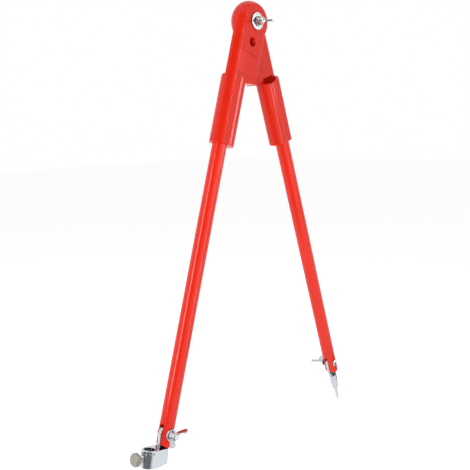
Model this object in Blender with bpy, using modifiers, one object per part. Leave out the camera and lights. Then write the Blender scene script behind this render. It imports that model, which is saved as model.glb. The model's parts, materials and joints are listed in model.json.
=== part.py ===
"""Carpenter's compass, 500 mm class: two like moulded arms on a pivot bolt, each with a forked leg.

The left foot holds a pencil clamp and the right foot a steel spike. Metres, +Z up. The origin is on the
floor, under the middle of the compass, and the pivot's axis runs along Y.
"""
import math

import bmesh
import bpy
from mathutils import Matrix

MM = 0.001

# Clearances and overruns
SEAT = 0.3 * MM
OVERRUN = 2.0 * MM
MERGE = 0.01 * MM
SIDES = 32
FINE_SIDES = 48

# Opening of the two legs at rest
LEG_ANGLE = math.radians(17.84)

# Arm moulding: u runs outward from the pivot, s towards the plate's outer face, t down the leg
HEAD_HALF = 10.4 * MM
HEAD_ROUNDING = 14.7 * MM
LEG_OFFSET = 10.5 * MM
RIB_RADIUS = 11.7 * MM
GRIP_OFFSET = 4.4 * MM
GRIP_RADIUS = 10.8 * MM
PLATE_INNER = 16.3 * MM
PLATE_EDGE = 0.8 * MM
PLATE_SLANT = math.radians(13.6)
CORNER_CLEARANCE = 1.1 * MM
SHOULDER = 68.0 * MM
CHANNEL_RISE = 5.2 * MM
SOCKET_LENGTH = 70.0 * MM
SOCKET_GRIP = 60.0 * MM
TOOL_HOLE_DROP = 23.1 * MM
TOOL_HOLE_RADIUS = 5.0 * MM
PANEL_DROP = 36.0 * MM
PANEL_LENGTH = 24.0 * MM
PANEL_MARGIN = 3.2 * MM
PANEL_DEPTH = 0.4 * MM
PANEL_CORNER = 4.0 * MM

# Leg rod and its fork
LEG_RADIUS = 8.0 * MM
FOOT_DROP = 439.8 * MM
RIGHT_LEG_DRAW = 5.0 * MM
FORK_DEPTH = 9.2 * MM
FORK_REACH = 12.7 * MM
TONGUE_HALF = 2.0 * MM
SPOT_DROP = 0.7 * MM

# Fasteners: M6 bolts, washers and wing nuts
BOLT_RADIUS = 3.0 * MM
BOLT_CHAMFER = 0.5 * MM
BOLT_PROUD = 1.2 * MM
PIVOT_HEAD_RADIUS = 6.5 * MM
PIVOT_HEAD_HEIGHT = 3.6 * MM
FOOT_HEAD_RADIUS = 4.2 * MM
FOOT_HEAD_HEIGHT = 1.2 * MM
WASHER_THICKNESS = 1.6 * MM
PIVOT_WASHER_RADIUS = 9.1 * MM
FOOT_WASHER_RADIUS = 6.2 * MM
NUT_BASE_RADIUS = 5.0 * MM
NUT_TOP_RADIUS = 4.0 * MM
NUT_HEIGHT = 6.0 * MM
WING_SPAN = 25.6 * MM
WING_HEIGHT = 13.3 * MM
WING_TIP_RADIUS = 3.1 * MM
WING_THICKNESS = 2.0 * MM
WING_FOOT = 0.8 * MM

# Pencil holder: p runs outward from the foot bolt and q down the holder
HOLDER_TILT = math.radians(7.0)
HOLDER_TONGUE_RADIUS = 8.6 * MM
HOLDER_TOP = 13.1 * MM
HOLDER_HEIGHT = 17.3 * MM
HOLDER_INNER = 1.0 * MM
HOLDER_CORNER = 1.2 * MM
HOLDER_SLOPE = 2.1 * MM
PENCIL_OFFSET = 19.8 * MM
PENCIL_RADIUS = 5.9 * MM
CLAMP_WALL = 2.4 * MM

# Clamp screw and its knob
SCREW_RADIUS = 2.5 * MM
SCREW_DROP = 20.7 * MM
SCREW_INSET = 0.3 * MM
KNOB_RADIUS = 7.0 * MM
KNOB_LENGTH = 5.4 * MM
KNOB_STAND_OFF = 6.2 * MM
KNOB_GRIP = 3.9 * MM
KNOB_RIM = 0.7 * MM
KNURL_DEPTH = 0.4 * MM
KNURL_COUNT = 30

# Spike and its holder
SPIKE_TONGUE_RADIUS = 7.6 * MM
SPIKE_BODY_DROP = 20.0 * MM
SPIKE_BODY_LENGTH = 21.0 * MM
SPIKE_BODY_TOP_RADIUS = 5.2 * MM
SPIKE_BODY_END_RADIUS = 4.3 * MM
SPIKE_BODY_CHAMFER = 0.6 * MM
SPIKE_GRIP = 8.0 * MM
SPIKE_RADIUS = 2.15 * MM
SPIKE_REACH = 21.6 * MM
SPIKE_TIP_RADIUS = 0.15 * MM
SPIKE_REACH_SHARES = (0.28, 0.58, 0.82)
SPIKE_RADIUS_SHARES = (1.0, 0.82, 0.5)

# Values that follow from the sizes above
LAP = SEAT / 2
BORE_RADIUS = LEG_RADIUS + SEAT
BOLT_HOLE_RADIUS = BOLT_RADIUS + SEAT
FLAT_ANGLE = math.asin(HEAD_HALF / RIB_RADIUS)
RIB_FLAT = LEG_OFFSET + RIB_RADIUS * math.cos(FLAT_ANGLE)
RIM = LEG_OFFSET + RIB_RADIUS
SOCKET_END = SHOULDER + SOCKET_LENGTH
LEG_TOP = SOCKET_END - SOCKET_GRIP
CORNER_DROP = math.sqrt((SHOULDER - CORNER_CLEARANCE) ** 2 - PLATE_INNER ** 2)
PLATE_TOE = SHOULDER + CORNER_CLEARANCE
SPOT_HALF = LEG_RADIUS - SPOT_DROP
CLAMP_RADIUS = PENCIL_RADIUS + CLAMP_WALL
KNOB_START = PENCIL_OFFSET + CLAMP_RADIUS + KNOB_STAND_OFF
SPIKE_BODY_END = SPIKE_BODY_DROP + SPIKE_BODY_LENGTH
SPIKE_END = SPIKE_BODY_END + SPIKE_REACH


def linear(value):
    """Turn one sRGB channel, 0 to 255, into a linear one."""
    share = value / 255
    if share <= 0.04045:
        return share / 12.92
    return ((share + 0.055) / 1.055) ** 2.4


def material(name, colour, roughness, metallic):
    """Make one Principled material from an sRGB colour."""
    made = bpy.data.materials.new(name)
    made.use_nodes = True
    shader = made.node_tree.nodes["Principled BSDF"]
    shader.inputs["Base Color"].default_value = (*[linear(c) for c in colour], 1.0)
    shader.inputs["Roughness"].default_value = roughness
    shader.inputs["Metallic"].default_value = metallic
    return made


def arc(centre_x, centre_y, radius, start, end, steps):
    """Points of an arc from one angle to another, ends included."""
    points = []
    for index in range(steps + 1):
        angle = start + (end - start) * index / steps
        points.append((centre_x + radius * math.cos(angle), centre_y + radius * math.sin(angle)))
    return points


def add_object(name, mesh, parent, tool):
    """Put a mesh in the parts' or the cutters' collection, under a parent."""
    made = bpy.data.objects.new(name, mesh)
    made.parent = parent
    if tool:
        bpy.data.collections["cutters"].objects.link(made)
        made.hide_render = True
        made.display_type = "WIRE"
    else:
        bpy.data.collections["carpenters_compass"].objects.link(made)
    return made


def outlined(name, outline, low, high, parent, tool=False):
    """Extrude a flat outline, given in X and Y, between two heights."""
    curve = bpy.data.curves.new(name, "CURVE")
    curve.dimensions = "2D"
    curve.fill_mode = "BOTH"
    curve.extrude = (high - low) / 2
    spline = curve.splines.new("POLY")
    spline.points.add(len(outline) - 1)
    for point, (x, y) in zip(spline.points, outline):
        point.co = (x, y, 0, 1)
    spline.use_cyclic_u = True
    flat = bpy.data.objects.new(name + "_outline", curve)
    bpy.context.scene.collection.objects.link(flat)
    graph = bpy.context.evaluated_depsgraph_get()
    mesh = bpy.data.meshes.new_from_object(flat.evaluated_get(graph))
    mesh.transform(flat.matrix_world)
    mesh.transform(Matrix.Translation((0, 0, (low + high) / 2)))
    bpy.data.objects.remove(flat)
    bpy.data.curves.remove(curve)
    shape = bmesh.new()
    shape.from_mesh(mesh)
    bmesh.ops.remove_doubles(shape, verts=shape.verts, dist=MERGE)
    bmesh.ops.recalc_face_normals(shape, faces=shape.faces)
    shape.to_mesh(mesh)
    shape.free()
    mesh.name = name
    return add_object(name, mesh, parent, tool)


def turned(name, profile, sides, parent, tool=False, closed=False):
    """Turn a profile of radius and height, listed top to bottom, about the local Z axis."""
    mesh = bpy.data.meshes.new(name)
    shape = bmesh.new()
    points = [shape.verts.new((radius, 0, height)) for radius, height in profile]
    for first, second in zip(points, points[1:]):
        shape.edges.new((first, second))
    if closed:
        shape.edges.new((points[-1], points[0]))
    shape.to_mesh(mesh)
    shape.free()
    made = add_object(name, mesh, parent, tool)
    screw = made.modifiers.new("turn", "SCREW")
    screw.steps = sides
    screw.render_steps = sides
    screw.use_merge_vertices = True
    screw.merge_threshold = MERGE
    return made


def cylinder(name, radius, low, high, sides, parent, tool=True):
    """A plain cylinder along local Z between two heights."""
    mesh = bpy.data.meshes.new(name)
    shape = bmesh.new()
    bmesh.ops.create_cone(
        shape, cap_ends=True, segments=sides, radius1=radius, radius2=radius, depth=high - low,
        matrix=Matrix.Translation((0, 0, (low + high) / 2)))
    shape.to_mesh(mesh)
    shape.free()
    return add_object(name, mesh, parent, tool)


def box(name, size_x, size_y, low, high, parent):
    """A cutting box centred on local Z between two heights."""
    mesh = bpy.data.meshes.new(name)
    shape = bmesh.new()
    middle = Matrix.Translation((0, 0, (low + high) / 2))
    scale = Matrix.Diagonal((size_x, size_y, high - low, 1))
    bmesh.ops.create_cube(shape, size=1, matrix=middle @ scale)
    shape.to_mesh(mesh)
    shape.free()
    return add_object(name, mesh, parent, True)


def combine(target, tool, operation):
    """Join a tool to an object, cut it away or keep what both share."""
    step = target.modifiers.new(tool.name, "BOOLEAN")
    step.operation = operation
    step.solver = "EXACT"
    step.object = tool


def across(tool):
    """Turn a tool's local Z axis to +Y, the direction of the bolts."""
    tool.rotation_euler = (-math.pi / 2, 0, 0)
    return tool


def upright(tool):
    """Turn an outline drawn in X and Y upright, so that its Y becomes Z and it is thick along Y."""
    tool.rotation_euler = (math.pi / 2, 0, 0)
    return tool


def finish(made, look):
    """Give a piece its material and smooth shading with crisp edges."""
    made.data.materials.append(look)
    made.data.shade_smooth()
    made.data.set_sharp_from_angle(angle=math.radians(30))


# Arms

def rib_arc(start, end, steps):
    """The arm's rounded outer side, an arc about the leg's axis."""
    return arc(LEG_OFFSET, 0, RIB_RADIUS, start, end, steps)


def arm(name, parent, look):
    """One moulded arm: lap plate with a round head, and the socket for the leg."""
    lap_angle = math.asin(LAP / RIB_RADIUS)
    outer = rib_arc(lap_angle, FLAT_ANGLE, 8)
    edge = arc(PLATE_EDGE - PLATE_INNER, HEAD_HALF - PLATE_EDGE, PLATE_EDGE, math.pi / 2, math.pi, 3)
    plate = [(-PLATE_INNER, LAP)] + outer + edge
    made = outlined(name, plate, -PLATE_TOE, 0, parent)

    # The plate's lower edge slants, and clears the other arm's shoulder as the legs close
    rise = math.tan(PLATE_SLANT)
    run = (PLATE_TOE - CORNER_DROP) / rise
    slant = [(-PLATE_INNER - OVERRUN, -CORNER_DROP + OVERRUN * rise),
             (-PLATE_INNER - OVERRUN, -PLATE_TOE - OVERRUN * rise),
             (-PLATE_INNER + run + OVERRUN, -PLATE_TOE - OVERRUN * rise)]
    wedge = upright(outlined(name + "_slant_cutter", slant, -HEAD_HALF - OVERRUN, OVERRUN, made, True))
    combine(made, wedge, "DIFFERENCE")

    # Round head about the pivot, fuller than the rounded side
    head_start = math.asin(LAP / HEAD_ROUNDING)
    head_end = math.asin(HEAD_HALF / HEAD_ROUNDING)
    rounding = arc(RIM - HEAD_ROUNDING, 0, HEAD_ROUNDING, head_end, head_start, 8)
    disc = turned(name + "_head", [(0, HEAD_HALF)] + rounding + [(0, LAP)], FINE_SIDES, made, True)
    combine(made, across(disc), "UNION")

    # Socket: the rounded outer side, two flats and a rounder inner side
    grip_angle = math.acos(math.sqrt(GRIP_RADIUS ** 2 - HEAD_HALF ** 2) / GRIP_RADIUS)
    lower = [(x, -y) for x, y in reversed(outer)]
    grip = arc(GRIP_OFFSET, 0, GRIP_RADIUS, grip_angle, 2 * math.pi - grip_angle, 20)
    peak = -math.sqrt(SHOULDER ** 2 - RIM ** 2)
    socket = outlined(name + "_socket", lower + outer + grip, -SOCKET_END, peak, made, True)
    combine(made, socket, "UNION")

    # Bore for the leg, which opens at the shoulder as a half-round channel in the lap face
    bore = cylinder(name + "_bore_cutter", BORE_RADIUS, -SOCKET_END - OVERRUN, -SHOULDER + CHANNEL_RISE,
                    SIDES, made)
    bore.location = (LEG_OFFSET, 0, 0)
    combine(made, bore, "DIFFERENCE")

    # Shoulder on the half that has no plate, an arc about the pivot that the other arm's plate swings past
    first = math.asin(-GRIP_RADIUS / SHOULDER) - math.pi / 2
    last = math.asin((RIM + OVERRUN) / SHOULDER) - math.pi / 2
    sweep = arc(0, 0, SHOULDER, first, last, 16)
    sweep += [(RIM + OVERRUN, peak + OVERRUN), (-GRIP_RADIUS, peak + OVERRUN)]
    scoop = upright(outlined(name + "_shoulder_cutter", sweep, -LAP, HEAD_HALF + OVERRUN, made, True))
    combine(made, scoop, "DIFFERENCE")

    # Pivot hole, the hole below it and the sunken panel on the outer face
    pivot = cylinder(name + "_pivot_cutter", BOLT_HOLE_RADIUS, -OVERRUN, HEAD_HALF + OVERRUN, SIDES, made)
    combine(made, across(pivot), "DIFFERENCE")
    hole = cylinder(name + "_hole_cutter", TOOL_HOLE_RADIUS, -OVERRUN, HEAD_HALF + OVERRUN, SIDES, made)
    across(hole).location = (0, 0, -TOOL_HOLE_DROP)
    combine(made, hole, "DIFFERENCE")
    inner = -PLATE_INNER + PANEL_MARGIN
    panel = [(RIM, -PANEL_DROP)]
    panel += arc(inner + PANEL_CORNER, -PANEL_DROP - PANEL_CORNER, PANEL_CORNER, math.pi / 2, math.pi, 4)
    panel += [(inner, -PANEL_DROP - PANEL_LENGTH), (RIM, -PANEL_DROP - PANEL_LENGTH)]
    sink = upright(outlined(name + "_panel_cutter", panel, -HEAD_HALF - OVERRUN, PANEL_DEPTH - HEAD_HALF,
                            made, True))
    combine(made, sink, "DIFFERENCE")
    finish(made, look)
    return made


# Legs

def leg(name, draw, parent, look):
    """One rod with a fork cut into its foot, drawn out of its socket by so much."""
    end = FOOT_DROP + FORK_REACH
    profile = [(0, -LEG_TOP), (LEG_RADIUS, -LEG_TOP), (LEG_RADIUS, -end), (0, -end)]
    made = turned(name, profile, SIDES, parent)
    made.location = (LEG_OFFSET, 0, -draw)

    # The fork's end is round about the bolt, so that what it holds can tilt
    wide = LEG_RADIUS + OVERRUN
    half = math.asin(wide / FORK_REACH)
    sweep = arc(0, -FOOT_DROP, FORK_REACH, -math.pi / 2 - half, -math.pi / 2 + half, 12)
    sweep += [(wide, -end - OVERRUN), (-wide, -end - OVERRUN)]
    rounder = upright(outlined(name + "_end_cutter", sweep, -wide, wide, made, True))
    combine(made, rounder, "DIFFERENCE")

    slot = box(name + "_slot_cutter", 2 * (LEG_RADIUS + OVERRUN), 2 * (TONGUE_HALF + SEAT),
               -end - OVERRUN, -FOOT_DROP + FORK_DEPTH, made)
    combine(made, slot, "DIFFERENCE")
    hole = cylinder(name + "_hole_cutter", BOLT_HOLE_RADIUS, -LEG_RADIUS - OVERRUN, LEG_RADIUS + OVERRUN,
                    SIDES, made)
    across(hole).location = (0, 0, -FOOT_DROP)
    combine(made, hole, "DIFFERENCE")
    for label, low, high in (("back", -LEG_RADIUS - OVERRUN, -SPOT_HALF),
                             ("front", SPOT_HALF, LEG_RADIUS + OVERRUN)):
        spot = cylinder(name + "_" + label + "_spot_cutter", FOOT_WASHER_RADIUS + SEAT, low, high, SIDES, made)
        across(spot).location = (0, 0, -FOOT_DROP)
        combine(made, spot, "DIFFERENCE")
    finish(made, look)
    return made


# Fasteners, all along local Z with the nut at the top

def bolt(name, head_seat, grip, head_radius, head_height, parent, look):
    """A bolt with a domed head below its seat and a plain shank up to the given grip."""
    top = grip + BOLT_PROUD
    profile = [(0, top), (BOLT_RADIUS - BOLT_CHAMFER, top), (BOLT_RADIUS, top - BOLT_CHAMFER),
               (BOLT_RADIUS, -head_seat), (head_radius, -head_seat)]
    for index in range(1, 5):
        angle = math.pi / 2 * index / 5
        profile.append((head_radius * math.cos(angle), -head_seat - head_height * math.sin(angle)))
    made = turned(name, profile + [(0, -head_seat - head_height)], SIDES, parent)
    finish(made, look)
    return made


def washer(name, radius, low, parent, look):
    """A flat washer that starts at the given height."""
    high = low + WASHER_THICKNESS
    profile = [(BOLT_HOLE_RADIUS, high), (radius, high), (radius, low), (BOLT_HOLE_RADIUS, low)]
    made = turned(name, profile, SIDES, parent, closed=True)
    finish(made, look)
    return made


def wing_nut(name, low, parent, look):
    """A wing nut: a tapered hub with two upright wings, whose base is at the given height."""
    made = turned(name, [(0, NUT_HEIGHT), (NUT_TOP_RADIUS, NUT_HEIGHT), (NUT_BASE_RADIUS, 0), (0, 0)],
                  SIDES, parent)
    made.location = (0, 0, low)
    tip_x = WING_SPAN / 2 - WING_TIP_RADIUS
    tip_y = WING_HEIGHT - WING_TIP_RADIUS
    right = [(NUT_TOP_RADIUS, WING_FOOT)]
    right += arc(tip_x, tip_y, WING_TIP_RADIUS, -math.pi / 4, math.pi * 5 / 6, 9)
    right += [(BOLT_RADIUS, NUT_HEIGHT - WING_FOOT)]
    left = [(-x, y) for x, y in reversed(right)]
    wings = upright(outlined(name + "_wings", right + left, -WING_THICKNESS / 2, WING_THICKNESS / 2,
                             made, True))
    combine(made, wings, "UNION")
    bore = cylinder(name + "_bore_cutter", BOLT_HOLE_RADIUS, -OVERRUN, WING_HEIGHT, SIDES, made)
    combine(made, bore, "DIFFERENCE")
    finish(made, look)
    return made


# Pencil holder

def pencil_holder(parent, look):
    """Cast holder: a block that ends in the pencil's ring, with a tongue up into the fork."""
    name = "pencil_holder"
    low = -HOLDER_TOP - HOLDER_HEIGHT
    inner = arc(HOLDER_INNER + HOLDER_CORNER, CLAMP_RADIUS - HOLDER_CORNER, HOLDER_CORNER,
                math.pi / 2, math.pi, 3)
    half = arc(PENCIL_OFFSET, 0, CLAMP_RADIUS, 0, math.pi / 2, 8) + inner
    mirrored = [(x, -y) for x, y in reversed(half)]
    made = outlined(name, half + mirrored[:-1], low, -HOLDER_TOP, parent)

    # The underside rises towards the inner end
    start = PENCIL_OFFSET - CLAMP_RADIUS
    under = [(HOLDER_INNER - OVERRUN, low - OVERRUN), (start, low - OVERRUN), (start, low),
             (HOLDER_INNER, low + HOLDER_SLOPE), (HOLDER_INNER - OVERRUN, low + HOLDER_SLOPE)]
    wedge = upright(outlined(name + "_under_cutter", under, -CLAMP_RADIUS - OVERRUN,
                             CLAMP_RADIUS + OVERRUN, made, True))
    combine(made, wedge, "DIFFERENCE")

    # Tongue: round about the bolt, then narrowing onto the block
    tongue = arc(0, 0, HOLDER_TONGUE_RADIUS, 0, math.pi, 16)
    tongue += [(HOLDER_INNER, -HOLDER_TOP), (HOLDER_INNER + HOLDER_CORNER, -HOLDER_TOP - HOLDER_CORNER),
               (HOLDER_TONGUE_RADIUS, -HOLDER_TOP - HOLDER_CORNER)]
    blade = upright(outlined(name + "_tongue", tongue, -TONGUE_HALF, TONGUE_HALF, made, True))
    combine(made, blade, "UNION")
    hole = cylinder(name + "_bolt_cutter", BOLT_HOLE_RADIUS, -TONGUE_HALF - OVERRUN,
                    TONGUE_HALF + OVERRUN, SIDES, made)
    combine(made, across(hole), "DIFFERENCE")

    # Bore for the pencil and the clamp screw's hole
    bore = cylinder(name + "_pencil_cutter", PENCIL_RADIUS, low - OVERRUN, -HOLDER_TOP + OVERRUN,
                    SIDES, made)
    bore.location = (PENCIL_OFFSET, 0, 0)
    combine(made, bore, "DIFFERENCE")
    thread = cylinder(name + "_screw_cutter", SCREW_RADIUS + SEAT, PENCIL_OFFSET,
                      PENCIL_OFFSET + CLAMP_RADIUS + OVERRUN, SIDES // 2, made)
    thread.rotation_euler = (0, math.pi / 2, 0)
    thread.location = (0, 0, -SCREW_DROP)
    combine(made, thread, "DIFFERENCE")
    finish(made, look)
    return made


def clamp_screw(parent, look):
    """The screw that pins the pencil, along p, with its inner end just inside the ring's wall."""
    start = PENCIL_OFFSET + PENCIL_RADIUS + SCREW_INSET
    end = KNOB_START + KNOB_GRIP - SEAT
    profile = [(0, end), (SCREW_RADIUS, end), (SCREW_RADIUS, start + BOLT_CHAMFER),
               (SCREW_RADIUS - BOLT_CHAMFER, start), (0, start)]
    made = turned("clamp_screw", profile, SIDES // 2, parent)
    made.rotation_euler = (0, math.pi / 2, 0)
    made.location = (0, 0, -SCREW_DROP)
    finish(made, look)
    return made


def clamp_knob(parent, look):
    """The knurled knob on the clamp screw, with smooth rims and a blind hole for the screw."""
    name = "clamp_knob"
    end = KNOB_START + KNOB_LENGTH
    outline = []
    for index in range(2 * KNURL_COUNT):
        angle = math.pi * index / KNURL_COUNT
        radius = KNOB_RADIUS - KNURL_DEPTH * (index % 2)
        outline.append((radius * math.cos(angle), radius * math.sin(angle)))
    made = outlined(name, outline, KNOB_START + KNOB_RIM, end - KNOB_RIM, parent)
    made.rotation_euler = (0, math.pi / 2, 0)
    made.location = (0, 0, -SCREW_DROP)
    core = cylinder(name + "_core", KNOB_RADIUS - 2 * KNURL_DEPTH, KNOB_START, end, SIDES, made)
    combine(made, core, "UNION")
    hole = cylinder(name + "_screw_cutter", SCREW_RADIUS + SEAT, KNOB_START - OVERRUN,
                    KNOB_START + KNOB_GRIP, SIDES // 2, made)
    combine(made, hole, "DIFFERENCE")
    finish(made, look)
    return made


# Spike and its holder

def spike_holder(parent, look):
    """A slightly tapered round body with a tongue up into the fork."""
    name = "spike_holder"
    profile = [(0, -SPIKE_BODY_DROP), (SPIKE_BODY_TOP_RADIUS - SPIKE_BODY_CHAMFER, -SPIKE_BODY_DROP),
               (SPIKE_BODY_TOP_RADIUS, -SPIKE_BODY_DROP - SPIKE_BODY_CHAMFER),
               (SPIKE_BODY_END_RADIUS, SPIKE_BODY_CHAMFER - SPIKE_BODY_END),
               (SPIKE_BODY_END_RADIUS - SPIKE_BODY_CHAMFER, -SPIKE_BODY_END), (0, -SPIKE_BODY_END)]
    made = turned(name, profile, SIDES, parent)
    neck = SPIKE_BODY_TOP_RADIUS - SPIKE_BODY_CHAMFER
    tongue = arc(0, 0, SPIKE_TONGUE_RADIUS, 0, math.pi, 14)
    tongue += [(-SPIKE_TONGUE_RADIUS, -FORK_REACH), (-neck, -SPIKE_BODY_DROP - SPIKE_BODY_CHAMFER),
               (neck, -SPIKE_BODY_DROP - SPIKE_BODY_CHAMFER), (SPIKE_TONGUE_RADIUS, -FORK_REACH)]
    blade = upright(outlined(name + "_tongue", tongue, -TONGUE_HALF, TONGUE_HALF, made, True))
    combine(made, blade, "UNION")
    hole = cylinder(name + "_bolt_cutter", BOLT_HOLE_RADIUS, -TONGUE_HALF - OVERRUN,
                    TONGUE_HALF + OVERRUN, SIDES, made)
    combine(made, across(hole), "DIFFERENCE")
    bore = cylinder(name + "_bore_cutter", SPIKE_RADIUS + SEAT, -SPIKE_BODY_END - OVERRUN,
                    SPIKE_GRIP - SPIKE_BODY_END, SIDES // 2, made)
    combine(made, bore, "DIFFERENCE")
    finish(made, look)
    return made


def spike_point(parent, look):
    """The hard steel pin, which narrows to the point that turns on the work."""
    start = SPIKE_GRIP - SEAT - SPIKE_BODY_END
    profile = [(0, start), (SPIKE_RADIUS, start)]
    for reach_share, radius_share in zip(SPIKE_REACH_SHARES, SPIKE_RADIUS_SHARES):
        profile.append((SPIKE_RADIUS * radius_share, -SPIKE_BODY_END - SPIKE_REACH * reach_share))
    profile += [(SPIKE_TIP_RADIUS, -SPIKE_END), (0, -SPIKE_END)]
    made = turned("spike_point", profile, SIDES // 2, parent)
    finish(made, look)
    return made


# Assembly

def empty(name, parent, location, rotation):
    """A placing frame, which is not a piece of its own."""
    made = bpy.data.objects.new(name, None)
    bpy.data.collections["carpenters_compass"].objects.link(made)
    made.parent = parent
    made.location = location
    made.rotation_euler = rotation
    return made


def box_middle():
    """The middle of the whole compass across X and Y, and its lowest height, from the pivot."""
    foot_x = LEG_OFFSET * math.cos(LEG_ANGLE) + FOOT_DROP * math.sin(LEG_ANGLE)
    lean = LEG_ANGLE - HOLDER_TILT
    knob_x = (KNOB_START + KNOB_LENGTH) * math.cos(lean)
    knob_x += (SCREW_DROP + KNOB_RADIUS - 2 * KNURL_DEPTH) * math.sin(lean)
    tip = FOOT_DROP + RIGHT_LEG_DRAW + SPIKE_END
    right = LEG_OFFSET * math.cos(LEG_ANGLE) + tip * math.sin(LEG_ANGLE)
    right += SPIKE_TIP_RADIUS * math.cos(LEG_ANGLE)
    lowest = (LEG_OFFSET - SPIKE_TIP_RADIUS) * math.sin(LEG_ANGLE) - tip * math.cos(LEG_ANGLE)
    fastening = WASHER_THICKNESS + 2 * SEAT + WING_HEIGHT
    front = HEAD_HALF + fastening
    back = SPOT_HALF + fastening
    return (right - foot_x - knob_x) / 2, (back - front) / 2, lowest


def foot_fastening(label, foot, turn, steel):
    """The bolt, washer and wing nut through one fork; the nut is on the plate's side of the arm."""
    axis = empty(label + "_bolt_axis", foot, (0, 0, 0), (-math.pi / 2, 0, 0))
    washer_low = SPOT_HALF + SEAT
    nut_low = washer_low + WASHER_THICKNESS + SEAT
    bolt(label + "_bolt", SPOT_HALF + SEAT, nut_low + NUT_HEIGHT, FOOT_HEAD_RADIUS, FOOT_HEAD_HEIGHT,
         axis, steel)
    washer(label + "_washer", FOOT_WASHER_RADIUS, washer_low, axis, steel)
    nut = wing_nut(label + "_wing_nut", nut_low, axis, steel)
    nut.rotation_euler = (0, 0, turn)


def main():
    """Clear the scene and build the compass."""
    for old in list(bpy.data.objects):
        bpy.data.objects.remove(old)
    for label in ("carpenters_compass", "cutters"):
        bpy.context.scene.collection.children.link(bpy.data.collections.new(label))

    red = material("red_moulding", (232, 44, 32), 0.35, 0.0)
    lacquer = material("red_leg", (238, 50, 36), 0.3, 0.0)
    steel = material("zinc_steel", (205, 208, 212), 0.25, 1.0)
    bright = material("bright_casting", (222, 224, 228), 0.15, 1.0)
    grey = material("grey_knob", (168, 166, 160), 0.5, 1.0)

    middle_x, middle_y, lowest = box_middle()
    pivot = empty("pivot", None, (-middle_x, -middle_y, -lowest), (0, 0, 0))
    left_side = empty("left_side", pivot, (0, 0, 0), (0, LEG_ANGLE, math.pi))
    left_side.rotation_mode = "ZYX"
    right_side = empty("right_side", pivot, (0, 0, 0), (0, -LEG_ANGLE, 0))

    foot_frames = []
    for label, side, draw in (("left", left_side, 0), ("right", right_side, RIGHT_LEG_DRAW)):
        arm(label + "_arm", side, red)
        leg(label + "_leg", draw, side, lacquer)
        foot_frames.append(empty(label + "_foot", side, (LEG_OFFSET, 0, -FOOT_DROP - draw), (0, 0, 0)))

    # Pivot fastening: the head is at the back and the wing nut at the front
    axis = empty("pivot_axis", pivot, (0, 0, 0), (math.pi / 2, 0, 0))
    seat = HEAD_HALF + SEAT
    nut_low = seat + WASHER_THICKNESS + SEAT
    bolt("pivot_bolt", nut_low, nut_low + NUT_HEIGHT, PIVOT_HEAD_RADIUS, PIVOT_HEAD_HEIGHT, axis, steel)
    washer("pivot_front_washer", PIVOT_WASHER_RADIUS, seat, axis, steel)
    washer("pivot_back_washer", PIVOT_WASHER_RADIUS, -seat - WASHER_THICKNESS, axis, steel)
    wing_nut("pivot_wing_nut", nut_low, axis, steel)

    left_foot, right_foot = foot_frames
    foot_fastening("pencil", left_foot, math.pi / 4, steel)
    foot_fastening("spike", right_foot, LEG_ANGLE, steel)
    holder_frame = empty("pencil_tilt", left_foot, (0, 0, 0), (0, HOLDER_TILT, 0))
    pencil_holder(holder_frame, bright)
    clamp_screw(holder_frame, steel)
    clamp_knob(holder_frame, grey)
    spike_frame = empty("spike_tilt", right_foot, (0, 0, 0), (0, 0, 0))
    spike_holder(spike_frame, bright)
    spike_point(spike_frame, steel)


main()
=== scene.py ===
"""Looks of the carpenter's compass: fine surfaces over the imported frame, materials, light and camera."""
import json
import math

import bmesh
import bpy
from bpy.props import FloatProperty, FloatVectorProperty, IntProperty, PointerProperty
from mathutils import Matrix, Vector


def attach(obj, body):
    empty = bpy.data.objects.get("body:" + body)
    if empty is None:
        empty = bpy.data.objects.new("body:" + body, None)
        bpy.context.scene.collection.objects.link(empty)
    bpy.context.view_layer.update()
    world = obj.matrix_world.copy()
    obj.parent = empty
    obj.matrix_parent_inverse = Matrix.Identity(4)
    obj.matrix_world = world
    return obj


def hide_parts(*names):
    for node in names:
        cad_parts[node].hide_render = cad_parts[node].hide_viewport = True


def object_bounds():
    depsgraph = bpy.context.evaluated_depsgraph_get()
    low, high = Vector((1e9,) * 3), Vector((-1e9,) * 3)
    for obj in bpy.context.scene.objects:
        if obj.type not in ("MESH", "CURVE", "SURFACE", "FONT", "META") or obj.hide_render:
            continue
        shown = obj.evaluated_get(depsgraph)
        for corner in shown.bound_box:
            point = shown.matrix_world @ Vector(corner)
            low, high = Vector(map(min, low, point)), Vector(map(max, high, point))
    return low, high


bl_info = {
    "name": "Carpenter's Compass",
    "version": (1, 0, 0),
    "blender": (4, 5, 0),
    "location": "3D View > Sidebar > Compass",
    "description": "Dresses the frame of a large carpenter's compass",
    "category": "Object",
}

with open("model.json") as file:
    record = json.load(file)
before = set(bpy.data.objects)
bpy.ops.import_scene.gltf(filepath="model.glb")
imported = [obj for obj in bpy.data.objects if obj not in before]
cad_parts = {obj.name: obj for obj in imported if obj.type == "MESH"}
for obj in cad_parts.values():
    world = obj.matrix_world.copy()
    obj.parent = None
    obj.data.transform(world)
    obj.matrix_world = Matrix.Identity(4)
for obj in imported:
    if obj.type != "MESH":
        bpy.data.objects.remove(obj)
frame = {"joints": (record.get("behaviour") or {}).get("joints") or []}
CAD_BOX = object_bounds()
JOINTS = {joint["name"]: joint for joint in frame["joints"]}
PIVOT = Vector(JOINTS["opening"]["pos_m"])
PENCIL_FOOT = Vector(JOINTS["holder_tilt"]["pos_m"])
SPIKE_FOOT = Vector(JOINTS["spike_tilt"]["pos_m"])
MM = 0.001
# Points closer than this are one
MERGE = 0.005 * MM
# How far a cutting tool runs past what it cuts
OVERRUN = 2.0 * MM
# Decimals of a metre that an outline's points keep
EXACT = 7
# Edges sharper than this are rounded, and faces that turn less than the other angle are joined
CREASE = math.radians(32)
FLATTEN = math.radians(0.4)
# Steps of the mesh along one turn of a thread
THREAD_STEPS = 8


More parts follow.
